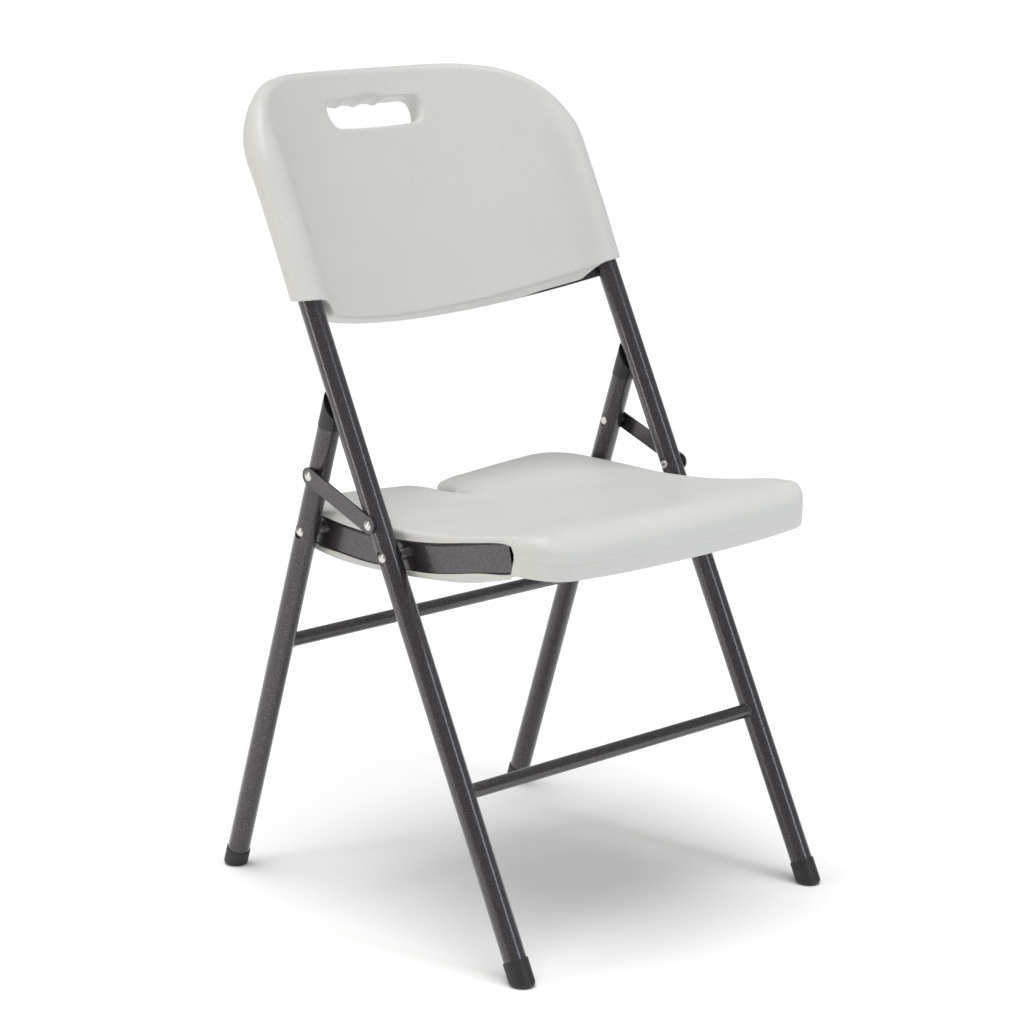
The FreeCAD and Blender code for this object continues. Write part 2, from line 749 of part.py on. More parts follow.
for name, pivot in (("seat_pivot", seat_pivot), ("leg_pivot", leg_pivot)):
    add_pair(name + "_rivet", rivet(outer_flat_x, rail_inner_x - side_gap, pivot))
    add_pair(name + "_spacer", ring_x(spacer_radius, rail_outer_x + side_gap, inner_flat_x, pivot))
add_pair("link", link_plate())
add_pair("link_front_rivet", rivet(link_outer_x + side_gap, inner_flat_x, link_front_pivot))
add_pair("link_front_washer", ring_x(washer_radius, outer_flat_x, link_inner_x - side_gap, link_front_pivot))
rear_head = rivet_head(link_outer_x, link_rear_pivot)
rear_stub = bar_x(rivet_radius, link_inner_x, link_outer_x, link_rear_pivot)
add_pair("link_rear_rivet", rear_head.fuse(rear_stub).removeSplitter())
add_pair("link_rear_washer", ring_x(washer_radius, outer_flat_x, link_inner_x - side_gap, link_rear_pivot))
rear_tail = rivet_tail(inner_flat_x, link_rear_pivot)
rear_tail = rear_tail.fuse(bar_x(rivet_radius, inner_flat_x, outer_flat_x, link_rear_pivot)).removeSplitter()
add_pair("link_rear_rivet_tail", rear_tail)

# The origin is the middle of the chair's bounding box, on the floor.
bounds = Part.makeCompound(list(nodes.values())).optimalBoundingBox()
centre_shift = -(bounds.YMin + bounds.YMax) / 2

os.makedirs("parts", exist_ok=True)
for name, shape in nodes.items():
    shape.translate(Vector(0, centre_shift, 0))
    shape.exportStep("parts/" + name + ".step")

for name, pivot in (("seat pivot", seat_pivot), ("leg pivot", leg_pivot),
                    ("link front pivot", link_front_pivot), ("link rear pivot", link_rear_pivot)):
    print(name, round(pivot.y + centre_shift, 3), round(pivot.z, 3))
print("size", round(bounds.XLength, 1), round(bounds.YLength, 1), round(bounds.ZMax, 1), "shift", round(centre_shift, 2))
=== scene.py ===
import math

import bmesh
import bpy
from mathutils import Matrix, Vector


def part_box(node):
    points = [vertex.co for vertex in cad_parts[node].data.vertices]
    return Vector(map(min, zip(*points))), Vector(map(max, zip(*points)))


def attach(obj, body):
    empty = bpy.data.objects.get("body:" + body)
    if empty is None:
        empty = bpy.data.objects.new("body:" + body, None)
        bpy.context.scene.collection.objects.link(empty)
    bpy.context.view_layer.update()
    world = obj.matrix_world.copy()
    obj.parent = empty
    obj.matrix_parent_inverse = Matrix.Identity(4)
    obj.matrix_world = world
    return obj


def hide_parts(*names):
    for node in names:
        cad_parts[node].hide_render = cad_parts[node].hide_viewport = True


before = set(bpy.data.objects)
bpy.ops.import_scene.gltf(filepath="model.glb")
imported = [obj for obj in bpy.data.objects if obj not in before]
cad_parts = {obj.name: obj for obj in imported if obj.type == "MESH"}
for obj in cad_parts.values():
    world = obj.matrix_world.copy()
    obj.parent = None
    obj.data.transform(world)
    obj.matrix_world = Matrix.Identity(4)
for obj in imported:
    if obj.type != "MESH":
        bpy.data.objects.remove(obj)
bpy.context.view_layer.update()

# ---- camera ------------------------------------------------------------------------------
# A long lens a little above the backrest, looking down at the chair from its front right.
camera = bpy.data.objects.new("camera", bpy.data.cameras.new("camera"))
bpy.context.scene.collection.objects.link(camera)
camera.location = (-2.1221, -2.31651, 1.17192)
camera.rotation_euler = (math.radians(77.896), 0, math.radians(-42.342))
camera.data.sensor_width = 36
camera.data.lens = 101.14
camera.data.shift_x = 0.0074
camera.data.shift_y = -0.0638
bpy.context.scene.camera = camera
bpy.context.scene.view_settings.view_transform = "Standard"

# ---- floor and light ---------------------------------------------------------------------
# A plain white studio floor under even white light. The ceiling lights it all broadly, a
# tall cool box stands to the right of the camera and a warm one to the left of the chair.
FLOOR_RADIUS = 60
FLOOR_DROP = 0.0005


class Value:
    """A number that varies over a surface. Arithmetic on it adds Math nodes."""

    def __init__(self, shade, socket):
        self.shade = shade
        self.socket = socket

    def math(self, operation, other):
        return self.shade.add("ShaderNodeMath", {"operation": operation}, {0: self, 1: other})[0]

    def __add__(self, other):
        return self.math("ADD", other)

    def __mul__(self, other):
        return self.math("MULTIPLY", other)

    def above(self, low, high):
        """0 below low, 1 above high, and a smooth step between them."""
        settings = {"interpolation_type": "SMOOTHSTEP"}
        return self.shade.add("ShaderNodeMapRange", settings, {0: self, 1: low, 2: high})[0]


class Shade:
    """A material being built: its node tree and the surface it ends in."""

    def __init__(self, name):
        self.material = bpy.data.materials.new(name)
        self.material.use_nodes = True
        self.tree = self.material.node_tree
        self.surface = self.tree.nodes["Principled BSDF"]
        self.place = self.add("ShaderNodeTexCoord", {}, {})["Object"]

    def fill(self, socket, value):
        """Links a varying value to a socket, or sets a constant on it."""
        if isinstance(value, Value):
            self.tree.links.new(value.socket, socket)
        elif hasattr(socket.default_value, "__len__") and len(value) < len(socket.default_value):
            socket.default_value = (*value, 1)
        else:
            socket.default_value = value

    def add(self, kind, settings, inputs):
        """A node of that type; gives its outputs by name or number."""
        node = self.tree.nodes.new(kind)
        for name, setting in settings.items():
            setattr(node, name, setting)
        for name, value in inputs.items():
            self.fill(node.inputs[name], value)
        outputs = {socket.name: Value(self, socket) for socket in reversed(node.outputs)}
        outputs.update({i: Value(self, socket) for i, socket in enumerate(node.outputs)})
        return outputs

    def noise(self, scale, detail=2.0, roughness=0.5, place=None):
        values = {"Vector": place or self.place, "Scale": scale, "Detail": detail, "Roughness": roughness}
        return self.add("ShaderNodeTexNoise", {}, values)[0]

    def stretched(self, x, y, z):
        """The surface's own coordinates, scaled along each axis."""
        return self.add("ShaderNodeMapping", {}, {"Vector": self.place, "Scale": (x, y, z)})[0]

    def mix(self, share, first, second):
        values = {"Factor": share, 6: first, 7: second}
        return self.add("ShaderNodeMix", {"data_type": "RGBA"}, values)[2]

    def finish(self, **values):
        """Sets the surface's sockets; a height, in metres, becomes its bump."""
        height = values.pop("height", None)
        for name, value in values.items():
            self.fill(self.surface.inputs[name.replace("_", " ")], value)
        if height is not None:
            bump = self.add("ShaderNodeBump", {}, {"Height": height, "Strength": 1.0, "Distance": 1.0})
            self.fill(self.surface.inputs["Normal"], bump[0])
        return self.material


def new_object(name, bm, material):
    mesh = bpy.data.meshes.new(name)
    bm.to_mesh(mesh)
    bm.free()
    made = bpy.data.objects.new(name, mesh)
    bpy.context.scene.collection.objects.link(made)
    made.data.materials.append(material)
    return made


floor_shade = Shade("studio_floor")
floor_tone = floor_shade.noise(2.5, 3.0)
floor_white = floor_shade.mix(floor_tone, (0.97, 0.97, 0.97), (0.985, 0.985, 0.985))
floor_material = floor_shade.finish(Base_Color=floor_white, Roughness=0.8, Specular_IOR_Level=0.1)
floor_mesh = bmesh.new()
bmesh.ops.create_circle(floor_mesh, segments=64, radius=FLOOR_RADIUS, cap_ends=True)
floor = new_object("floor", floor_mesh, floor_material)
floor.location.z = -FLOOR_DROP

world = bpy.data.worlds.new("studio")
world.use_nodes = True
world.node_tree.nodes["Background"].inputs["Color"].default_value = (1, 1, 1, 1)
world.node_tree.nodes["Background"].inputs["Strength"].default_value = 0.375
bpy.context.scene.world = world


def soft_box(name, place, target, width, height, power, colour):
    lamp = bpy.data.lights.new(name, "AREA")
    lamp.shape = "RECTANGLE"
    lamp.size = width
    lamp.size_y = height
    lamp.energy = power
    lamp.color = colour
    box = bpy.data.objects.new(name, lamp)
    bpy.context.scene.collection.objects.link(box)
    box.location = place
    box.rotation_euler = (Vector(place) - Vector(target)).to_track_quat("Z", "Y").to_euler()


def broad_sun(name, direction, spread, strength):
    """The even overhead light of a studio ceiling, coming along a direction."""
    lamp = bpy.data.lights.new(name, "SUN")
    lamp.angle = math.radians(spread)
    lamp.energy = strength
    sun = bpy.data.objects.new(name, lamp)
    bpy.context.scene.collection.objects.link(sun)
    sun.rotation_euler = (-Vector(direction)).to_track_quat("Z", "Y").to_euler()


broad_sun("ceiling_light", (0.10, 0.02, -0.99), 45, 2.3)
soft_box("cool_box", (0.75, -3.6, 1.7), (0, 0, 0.6), 0.34, 2.8, 28, (0.80, 0.88, 1.0))
soft_box("warm_box", (-3.3, 0.9, 1.5), (0, 0, 0.6), 0.40, 2.4, 22, (1.0, 0.90, 0.80))

# ---- legs and crossbars ------------------------------------------------------------------
# Round steel tube, 25 mm across, bent and cut, with a thinner crossbar welded between
# each pair. All of it is finished in semi-gloss charcoal powder coat with a metal fleck.
coat_shade = Shade("charcoal_powder_coat")
coat_cloud = coat_shade.noise(14, 3.0)
coat_grain = coat_shade.noise(1500, 2.0)
coat_fleck = coat_shade.noise(1500, 1.0).above(0.60, 0.70)
coat_base = coat_shade.mix(coat_cloud, (0.021, 0.017, 0.019), (0.033, 0.027, 0.030))
coat_colour = coat_shade.mix(coat_fleck * 0.75, coat_base, (0.30, 0.26, 0.31))
coat_peel = coat_shade.noise(420, 2.0)
coat_scuff = coat_shade.noise(60, 6.0, 0.7).above(0.60, 0.78)
powder_coat = coat_shade.finish(
    Base_Color=coat_colour,
    Metallic=coat_fleck * 0.5 + 0.35,
    Roughness=coat_grain * 0.10 + coat_scuff * 0.10 + 0.26,
    Coat_Weight=0.85,
    Coat_Roughness=0.14,
    height=coat_peel * 0.00006 + coat_grain * 0.00002,
)


def dress(material, *nodes):
    """Gives the chair's own solids their finish."""
    for name in nodes:
        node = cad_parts[name]
        node.data.materials.clear()
        node.data.materials.append(material)


dress(powder_coat, "front_leg_left", "front_leg_right", "rear_leg_left", "rear_leg_right")
dress(powder_coat, "front_crossbar", "rear_crossbar")

# ---- weld beads --------------------------------------------------------------------------
# A small fillet weld runs all the way round each crossbar end, where the bar is coped to
# the leg. It is coated with the frame, so its ripples are softened.
MM = 0.001
LEG_AXIS = 221.5
LEG_RADIUS = 12.5
BAR_RADIUS = 8.0
FRONT_LEAN = math.radians(26.59)
REAR_LEAN = math.radians(-18.67)
BEAD_STEPS = 56
BEAD_SIDES = 8
BEAD_UP_BAR = 1.7
BEAD_OFF_BAR = 1.5
BEAD_SUNK = 0.3
BEAD_IN_LEG = 0.4


def ring_places(bm, ring, places):
    for vert, place in zip(ring, places):
        vert.co = place
    return ring


def extrude_ring(bm, ring, places):
    """Extrudes a closed ring of edges and puts the new ring at those places."""
    count = len(ring)
    edges = [bm.edges.get((ring[i], ring[(i + 1) % count])) for i in range(count)]
    made = bmesh.ops.extrude_edge_only(bm, edges=edges)["geom"]
    fresh = {vert for vert in made if isinstance(vert, bmesh.types.BMVert)}
    following = [next(e.other_vert(v) for e in v.link_edges if e.other_vert(v) in fresh) for v in ring]
    return ring_places(bm, following, places)


def loft(rings):
    """A closed skin through rings of places, with the same count in each."""
    bm = bmesh.new()
    made = bmesh.ops.create_circle(bm, segments=len(rings[0]), radius=1, cap_ends=False)
    ring = ring_places(bm, made["verts"], rings[0])
    for places in rings[1:]:
        ring = extrude_ring(bm, ring, places)
    bmesh.ops.remove_doubles(bm, verts=bm.verts, dist=0.00005)
    bmesh.ops.recalc_face_normals(bm, faces=bm.faces)
    return bm


def smooth(made, levels):
    made.data.shade_smooth()
    rounding = made.modifiers.new("rounding", "SUBSURF")
    rounding.levels = levels
    rounding.render_levels = levels
    return made


def weld_bead(name, bar, lean, side, body):
    """A rippled bead along the line where a bar meets the round of a leg."""
    low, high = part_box(bar)
    centre = (low + high) / 2
    up = Vector((0, math.sin(lean), math.cos(lean)))
    across = Vector((0, math.cos(lean), -math.sin(lean)))
    rings = []
    for step in range(BEAD_STEPS + 1):
        turn = math.tau * step / BEAD_STEPS
        out = across * math.cos(turn) + up * math.sin(turn)
        width = BAR_RADIUS * math.cos(turn)
        saddle = LEG_AXIS - math.sqrt(LEG_RADIUS ** 2 - width ** 2)
        ripple = 1 + 0.10 * math.cos(turn * 18) + 0.12 * math.sin(turn * 3 + side)
        ring = []
        for corner in range(BEAD_SIDES):
            angle = math.tau * corner / BEAD_SIDES
            reach = BAR_RADIUS - BEAD_SUNK + BEAD_OFF_BAR * ripple * math.cos(angle)
            along = saddle - BEAD_IN_LEG + BEAD_UP_BAR * ripple * math.sin(angle)
            ring.append(centre + (Vector((side * along, 0, 0)) + out * reach) * MM)
        rings.append(ring)
    bead = smooth(new_object(name, loft(rings), powder_coat), 1)
    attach(bead, body)


for side, hand in ((1, "left"), (-1, "right")):
    weld_bead("front_weld_" + hand, "front_crossbar", FRONT_LEAN, side, "frame")
    weld_bead("rear_weld_" + hand, "rear_crossbar", REAR_LEAN, side, "rear_legs")

# ---- feet --------------------------------------------------------------------------------
# Moulded rubber tips pushed over the leg ends, with soles that stand level on the floor.
# They are matt black, a little grey where they have been scuffed.
foot_shade = Shade("foot_rubber")
foot_cloud = foot_shade.noise(40, 4.0)
foot_grain = foot_shade.noise(900, 2.0)
foot_colour = foot_shade.mix(foot_cloud, (0.010, 0.010, 0.011), (0.022, 0.021, 0.021))
foot_rubber = foot_shade.finish(
    Base_Color=foot_colour,
    Roughness=foot_cloud * 0.15 + 0.42,
    height=foot_grain * 0.00004,
)
dress(foot_rubber, "front_foot_left", "front_foot_right", "rear_foot_left", "rear_foot_right")

# ---- rear leg caps -----------------------------------------------------------------------
# Wedge-shaped nylon plugs in the tops of the rear legs. They come to rest against the
# front legs when the chair is open, and are moulded in satin black.
cap_shade = Shade("cap_nylon")
cap_cloud = cap_shade.noise(55, 3.0)
cap_grain = cap_shade.noise(1300, 2.0)
cap_colour = cap_shade.mix(cap_cloud, (0.014, 0.013, 0.014), (0.026, 0.025, 0.027))
cap_nylon = cap_shade.finish(
    Base_Color=cap_colour,
    Roughness=cap_cloud * 0.12 + 0.30,
    height=cap_grain * 0.00003,
)
dress(cap_nylon, "rear_leg_cap_left", "rear_leg_cap_right")

# ---- seat rails, cross tubes and back brace ----------------------------------------------
# Bent rectangular tube in the grooves of the seat's sides, round cross tubes under the
# seat, and a curved steel strip behind the back. They are coated like the legs.
dress(powder_coat, "seat_rail_left", "seat_rail_right", "back_brace")
dress(powder_coat, "seat_front_cross_tube", "seat_rear_cross_tube")

# ---- seat --------------------------------------------------------------------------------
# One hollow blow-moulded polyethylene shell with a rolled front, a groove in each side for
# its rail, a notch in its rear edge and a recessed pan underneath. Its skin is pebbled.
pivot = Vector((0, -0.049832, 0.4187))

plastic_shade = Shade("moulded_plastic")
plastic_cloud = plastic_shade.noise(9, 4.0, 0.55)
plastic_pebble = plastic_shade.noise(640, 2.0, 0.6)
plastic_ripple = plastic_shade.noise(26, 2.0)
plastic_scuff = plastic_shade.noise(34, 7.0, 0.75, plastic_shade.stretched(1, 3, 1)).above(0.66, 0.80)
plastic_base = plastic_shade.mix(plastic_cloud, (0.590, 0.592, 0.565), (0.630, 0.632, 0.604))
# Painted shade: the colour is darkened where the pebble noise is high, standing in for the shade in the
# pebbled skin's pits.
plastic_pit_shade = plastic_pebble.above(0.42, 0.66)
plastic_pit_shaded = plastic_shade.mix(plastic_pit_shade * 0.24, plastic_base, (0.48, 0.48, 0.455))
plastic_colour = plastic_shade.mix(plastic_scuff * 0.10, plastic_pit_shaded, (0.44, 0.43, 0.41))
moulded_plastic = plastic_shade.finish(
    Base_Color=plastic_colour,
    Roughness=plastic_cloud * 0.10 + plastic_scuff * 0.10 + 0.40,
    Specular_IOR_Level=0.42,
    Subsurface_Weight=0.04,
    Subsurface_Radius=(0.004, 0.004, 0.003),
    Subsurface_Scale=0.5,
    height=plastic_pebble * 0.00024 + plastic_ripple * 0.00022,
)


def ease(value, low, high):
    """0 below low, 1 above high, and a smooth step between them."""
    share = min(max((value - low) / (high - low), 0), 1)
    return share * share * (3 - 2 * share)


def between(first, second, share):
    return first + (second - first) * share


def through(points, at):
    """A smooth curve through (place, height) points in rising order, flat beyond both ends."""
    if at <= points[0][0]:
        return points[0][1]
    if at >= points[-1][0]:
        return points[-1][1]
    index = next(i for i in range(1, len(points)) if at <= points[i][0])

    def slope(i):
        before = points[max(i - 1, 0)]
        after = points[min(i + 1, len(points) - 1)]
        return (after[1] - before[1]) / (after[0] - before[0])

    x0, y0 = points[index - 1]
    x1, y1 = points[index]
    span = x1 - x0
    t = (at - x0) / span
    start = y0 * (1 + 2 * t) * (1 - t) ** 2 + slope(index - 1) * span * t * (1 - t) ** 2
    end = y1 * t * t * (3 - 2 * t) + slope(index) * span * t * t * (t - 1)
    return start + end


# Heights above the pivot along the seat, from its front to its rear: the top at the middle,
# the underside, and how much higher the rear stands at a distance from the middle.
SEAT_TOP = [(-200, 53.5), (-165, 49), (-125, 40), (-70, 31), (-10, 25.5), (60, 22.8), (130, 21.5),
            (172, 20.5), (190, 18.5)]
SEAT_UNDER = [(-214, 5), (-187, 7), (-150, -1), (-115, -10), (-79, -15.5), (-30, -20.5), (20, -24),
              (90, -26.5), (134, -23.5), (160, -18.5), (182, -10), (196, -3)]
SEAT_LOBES = [(0, -1.2), (48, -0.6), (80, 1.7), (115, 4.1), (150, 6), (175, 6.6), (205, 4)]
DISH_DEPTH = 3
TROUGH_DEPTH = 13
TROUGH_WIDTH = 18
RIM_RISE = 2


def seat_top(at):
    x, y = at
    lobes = through(SEAT_LOBES, abs(x)) * ease(y, 0, 165)
    dish = -DISH_DEPTH * (1 - ease(abs(x), 30, 170)) * ease(y, -190, -60) * (1 - ease(y, 70, 170))
    trough = -TROUGH_DEPTH * math.exp(-(x / TROUGH_WIDTH) ** 2) * ease(y, 98, 150)
    side_rim = RIM_RISE * ease(abs(x), 172, 198) * ease(y, -165, -130) * (1 - ease(y, 60, 150))
    return through(SEAT_TOP, y) + lobes + dish + trough + side_rim


RAIL_BEND = 670.0
RAIL_HALF = 17.5
RAIL_GAP = 0.5
RAIL_STRAIGHT_FROM = -88.0
bend_first = Vector((0, -2.5))
bend_second = Vector((139.6, 1.2))
bend_chord = bend_second - bend_first
bend_rise = math.sqrt(RAIL_BEND ** 2 - (bend_chord.length / 2) ** 2)
bend_upwards = Vector((-bend_chord.y, bend_chord.x)).normalized()
bend_centre = (bend_first + bend_second) / 2 + bend_upwards * bend_rise


def rail_middle(y):
    """Height of the rail's middle line: an arc, and straight on towards the front."""
    reach = max(y, RAIL_STRAIGHT_FROM) - bend_centre.x
    drop = math.sqrt(RAIL_BEND ** 2 - reach ** 2)
    height = bend_centre.y - drop
    if y < RAIL_STRAIGHT_FROM:
        height += (y - RAIL_STRAIGHT_FROM) * reach / drop
    return height


SEAT_HALF = 205.0
FRONT_EDGE = -232.6
FRONT_CORNER = 42.0
FRONT_BOW = 7.0
FRONT_CORNER_X = SEAT_HALF - FRONT_CORNER
FRONT_CORNER_Y = FRONT_EDGE + FRONT_BOW + FRONT_CORNER
REAR_EDGE = 196.5
REAR_CORNER = 48.0
REAR_CORNER_X = SEAT_HALF - REAR_CORNER
REAR_CORNER_Y = REAR_EDGE - REAR_CORNER
NOTCH_HALF = 10.5
NOTCH_CENTRE_Y = 164.0
NOTCH_CORNER = 10.0
NOTCH_CORNER_X = NOTCH_HALF + NOTCH_CORNER
NOTCH_CORNER_Y = REAR_EDGE - NOTCH_CORNER
GROOVE_FRONT = -173.0
GROOVE_REAR = 165.8
GROOVE_DEPTH = 18.0
SIDE_STATIONS = (-180, -176, -173.9, GROOVE_FRONT, -171, -166, -158, -146, -132, -116, -100, -84, -68,
                 -52, -36, -20, -4, 12, 28, 44, 60, 76, 92, 108, 122, 136)
REAR_CORNER_TURNS = (0, 8, 15, 19, 21.2, 22.4, 26, 34, 44, 55, 66, 78)


def seat_columns():
    """Half of the seat's outline as places and ways inwards, from its front to the notch's end."""
    columns = []
    for step in range(10):
        x = FRONT_CORNER_X * step / 10
        way = Vector((-2 * FRONT_BOW * x / FRONT_CORNER_X ** 2, 1)).normalized()
        columns.append((Vector((x, FRONT_EDGE + FRONT_BOW * (x / FRONT_CORNER_X) ** 2)), way))
    for step in range(10):
        turn = math.radians(5 + 85 * step / 10)
        out = Vector((math.sin(turn), -math.cos(turn)))
        columns.append((Vector((FRONT_CORNER_X, FRONT_CORNER_Y)) + out * FRONT_CORNER, -out))
    for y in (FRONT_CORNER_Y, *SIDE_STATIONS):
        columns.append((Vector((SEAT_HALF, y)), Vector((-1, 0))))
    for degrees in REAR_CORNER_TURNS:
        turn = math.radians(degrees)
        out = Vector((math.cos(turn), math.sin(turn)))
        columns.append((Vector((REAR_CORNER_X, REAR_CORNER_Y)) + out * REAR_CORNER, -out))
    for step in range(9):
        x = between(REAR_CORNER_X, NOTCH_CORNER_X, step / 9)
        columns.append((Vector((x, REAR_EDGE)), Vector((0, -1))))
    for step in range(6):
        turn = math.radians(90 * step / 6)
        out = Vector((-math.sin(turn), math.cos(turn)))
        columns.append((Vector((NOTCH_CORNER_X, NOTCH_CORNER_Y)) + out * NOTCH_CORNER, -out))
    for y in (NOTCH_CORNER_Y, (NOTCH_CORNER_Y + NOTCH_CENTRE_Y) / 2):
        columns.append((Vector((NOTCH_HALF, y)), Vector((1, 0))))
    for step in range(7):
        turn = math.radians(90 * step / 6)
        way = Vector((math.cos(turn), -math.sin(turn)))
        columns.append((Vector((0, NOTCH_CENTRE_Y)) + way * NOTCH_HALF, way))
    return columns


def outline_shares(columns):
    """How far along the outline each column stands, from 0 to 1."""
    lengths = [0.0]
    for (place, _), (after, _) in zip(columns, columns[1:]):
        lengths.append(lengths[-1] + (after - place).length)
    return [length / lengths[-1] for length in lengths]


def angle_of(cosine):
    """The angle with that cosine, which rounding may have put a little past 1."""
    return math.acos(min(max(cosine, -1), 1))


def seat_rounding(place, way):
    """How far the edge's rounding reaches in and down at the top, and in and up underneath."""
    if place.y < GROOVE_FRONT:
        side = ease(math.degrees(angle_of(way.y)), 6, 70)
        top_in, top_down = between(32, 12, side), between(22, 12, side)
        return top_in, top_down, between(19, 17, side), between(17, 15, side)
    if place.y > 140 and place.x < REAR_CORNER_X:
        notch = ease(-place.x, -30, -14)
        top_in, top_down = between(9.5, 6.5, notch), between(9.5, 9, notch)
        return top_in, top_down, between(12, 6, notch), between(10, 7, notch)
    rear = ease(place.y, 140, 190)
    front = 1 - ease(place.y, -172, -160)
    top = between(4.5, 9.5, rear) + 3 * front
    return top, top, between(4, 12, rear), between(1.6, 10, rear) + 2 * front


PAN_HALF = 165.0
PAN_FRONT = -172.0
PAN_REAR = 140.5
PAN_CORNER = 14.0
PAN_CORNER_X = PAN_HALF - PAN_CORNER
SIDE_FRONT = FRONT_CORNER_Y - 0.4


def pan_outline(columns):
    """Where each column meets the rim of the pan underneath."""
    rim = []
    for place, way in columns:
        if place.y < SIDE_FRONT and place.x < FRONT_CORNER_X:
            rim.append(Vector((place.x / FRONT_CORNER_X * PAN_CORNER_X, PAN_FRONT)))
        elif place.y < SIDE_FRONT:
            turn = angle_of(way.y)
            corner_y = PAN_FRONT + PAN_CORNER * (1 - math.cos(turn))
            rim.append(Vector((PAN_CORNER_X + PAN_CORNER * math.sin(turn), corner_y)))
        elif place.y < REAR_CORNER_Y and place.x > REAR_CORNER_X:
            share = (place.y - SIDE_FRONT) / (REAR_CORNER_Y - SIDE_FRONT)
            rim.append(Vector((PAN_HALF, between(PAN_FRONT + PAN_CORNER, PAN_REAR - PAN_CORNER, share))))
        elif place.x > REAR_CORNER_X:
            turn = angle_of(-way.x)
            corner_y = PAN_REAR - PAN_CORNER * (1 - math.sin(turn))
            rim.append(Vector((PAN_CORNER_X + PAN_CORNER * math.cos(turn), corner_y)))
    rear_count = len(columns) - len(rim)
    for step in range(rear_count, 0, -1):
        rim.append(Vector((PAN_CORNER_X * (step - 1) / rear_count, PAN_REAR)))
    return rim


GROOVE_LIP = 1.5
GROOVE_FLANGE = 3.0
SEAM_RIDGE = 0.5
SEAM_HALF = 0.5


def edge_steps(place, high, low):
    """Insets and heights down the edge: the groove for the rail, or the seam where there is none."""
    middle = rail_middle(place.y)
    upper = min(middle + RAIL_HALF + RAIL_GAP, high - 2.4)
    lower = max(middle - RAIL_HALF - RAIL_GAP, low + 1.8)
    if GROOVE_FRONT <= place.y <= GROOVE_REAR and place.x > 190:
        depth = seam_depth = GROOVE_DEPTH
        lip = GROOVE_LIP
        flange = GROOVE_FLANGE * ease(place.y, -165, -120) * (1 - ease(place.y, 100, 140))
        drawn_in = 0
    else:
        depth = lip = flange = 0
        seam_depth = -SEAM_RIDGE
        drawn_in = (place.y + 178) / 4 * 2.2 if -178 <= place.y <= 0 else 0
        if high - low < 22:
            upper, lower = between(low, high, 0.62), between(low, high, 0.38)
    seam = (upper + lower) / 2
    steps = ((0, upper + 1.2), (0, upper), (lip, upper), (depth, upper), (seam_depth, seam + SEAM_HALF),
             (seam_depth, seam - SEAM_HALF), (depth, lower), (lip, lower), (lip * 0.9, lower + flange),
             (0.2, lower + flange), (0, lower - 0.6))
    return [(inset + drawn_in, height) for inset, height in steps]


SEAT_ROWS = 8
SPINE_FRONT = -150
SPINE_REAR = 112
PAN_SPINE_REAR = 118
SLAB_THICKNESS = 24.0
LIP_BOW = 4.5


def seat_profile(place, way, rim, share):
    """The shell's points in one column: from its spine over the top, round the edge and under."""
    top_in, top_down, low_in, low_up = seat_rounding(place, way)
    inner = place + way * top_in
    spine = Vector((0, between(SPINE_FRONT, SPINE_REAR, share)))
    rows = [spine.lerp(inner, row / SEAT_ROWS) for row in range(SEAT_ROWS)]
    points = [(*at, seat_top(at)) for at in rows]
    crown = seat_top(inner)
    for degrees in (0, 18, 36, 54, 72, 90):
        turn = math.radians(degrees)
        at = place + way * (top_in * (1 - math.sin(turn)))
        points.append((*at, crown - top_down * (1 - math.cos(turn))))
    sole = place + way * low_in
    bow = LIP_BOW * (1 - (place.x / 215) ** 4) * (1 - ease(place.y, -200, -175))
    edge_low = through(SEAT_UNDER, sole.y) - bow + low_up
    for inset, height in edge_steps(place, crown - top_down, edge_low):
        points.append((*(place + way * inset), height))
    for degrees in (90, 60, 30, 0):
        turn = math.radians(degrees)
        at = place + way * (low_in * (1 - math.sin(turn)))
        points.append((*at, edge_low - low_up * (1 - math.cos(turn))))
    outwards = (sole - rim).normalized()
    rim_height = through(SEAT_UNDER, rim.y)
    ceiling = through(SEAT_TOP, rim.y) - SLAB_THICKNESS
    for reach, height in ((3, rim_height), (0, rim_height + 1), (-2, rim_height + 4), (-3, ceiling - 4),
                          (-7, ceiling)):
        points.append((*(rim + outwards * reach), height))
    pan_edge = rim - outwards * 7
    pan_spine = Vector((0, between(SPINE_FRONT, PAN_SPINE_REAR, share)))
    for row in range(SEAT_ROWS):
        at = pan_edge.lerp(pan_spine, (row + 1) / SEAT_ROWS)
        points.append((*at, through(SEAT_TOP, at.y) - SLAB_THICKNESS))
    return points


def seat_rings():
    """The shell's rings, right half and its mirror image, from the spine to the middle of the pan."""
    columns = seat_columns()
    shares = outline_shares(columns)
    profiles = [seat_profile(*column, rim, share)
                for column, rim, share in zip(columns, pan_outline(columns), shares)]
    rings = []
    for points in zip(*profiles):
        mirrored = [(-x, y, z) for x, y, z in points[-2:0:-1]]
        rings.append([pivot + Vector(point) * MM for point in (*points, *mirrored)])
    return rings


seat = smooth(new_object("seat_shell", loft(seat_rings()), moulded_plastic), 2)
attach(seat, "seat")
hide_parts("seat")

# ---- backrest ----------------------------------------------------------------------------
# One hollow blow-moulded shell, curved to the sitter's back, whose rolled sides slide down
# over the front legs. A hand hole with finger ridges is moulded through it near the top.
PIVOT_UP = 468.2
back_up = Vector((0, math.sin(FRONT_LEAN), math.cos(FRONT_LEAN)))
back_behind = Vector((0, math.cos(FRONT_LEAN), -math.sin(FRONT_LEAN)))

